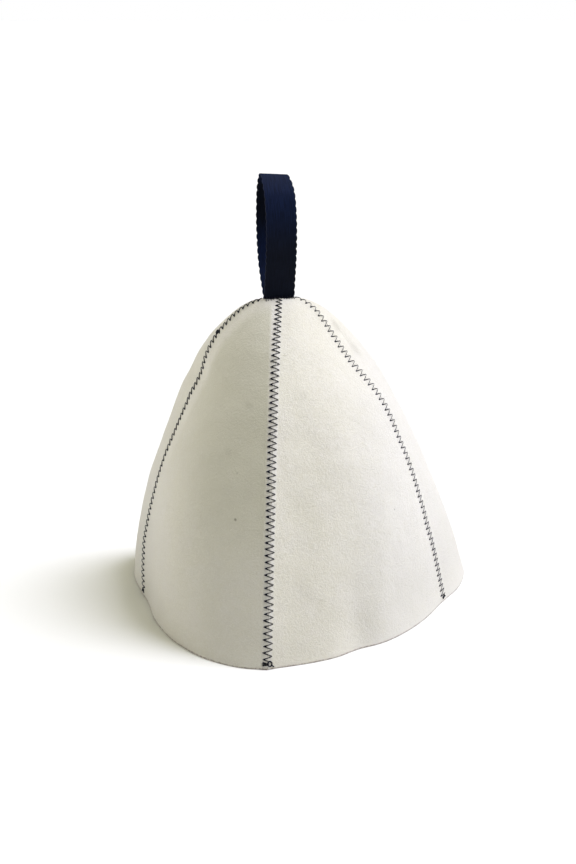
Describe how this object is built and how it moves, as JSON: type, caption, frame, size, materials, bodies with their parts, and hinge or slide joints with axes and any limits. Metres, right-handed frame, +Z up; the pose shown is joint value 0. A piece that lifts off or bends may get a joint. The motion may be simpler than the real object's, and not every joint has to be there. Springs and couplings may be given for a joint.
{
  "type": "felt sauna hat",
  "caption": "Bell-shaped felt hat of gores joined by zigzag seams, with a ribbon hanging loop standing at the crown and an open head hollow.",
  "frame": {"origin": "on the floor plane that the rim stands on, under the middle of the hat's length and width", "axes": "+Z up through the crown, -Y towards the front seam, +X to the wearer's left as seen from the front"},
  "size_m": [0.2223, 0.2111, 0.2692],
  "materials": {
    "felt": "matt felt with a soft nap",
    "ribbon": "ribbed navy ribbon with scalloped edges"
  },
  "bodies": {
    "root": {"gore_front_left": "felt", "gore_front_right": "felt", "gore_back_right": "felt", "gore_back_left": "felt", "hanging_loop": "ribbon"}
  },
  "joints": []
}
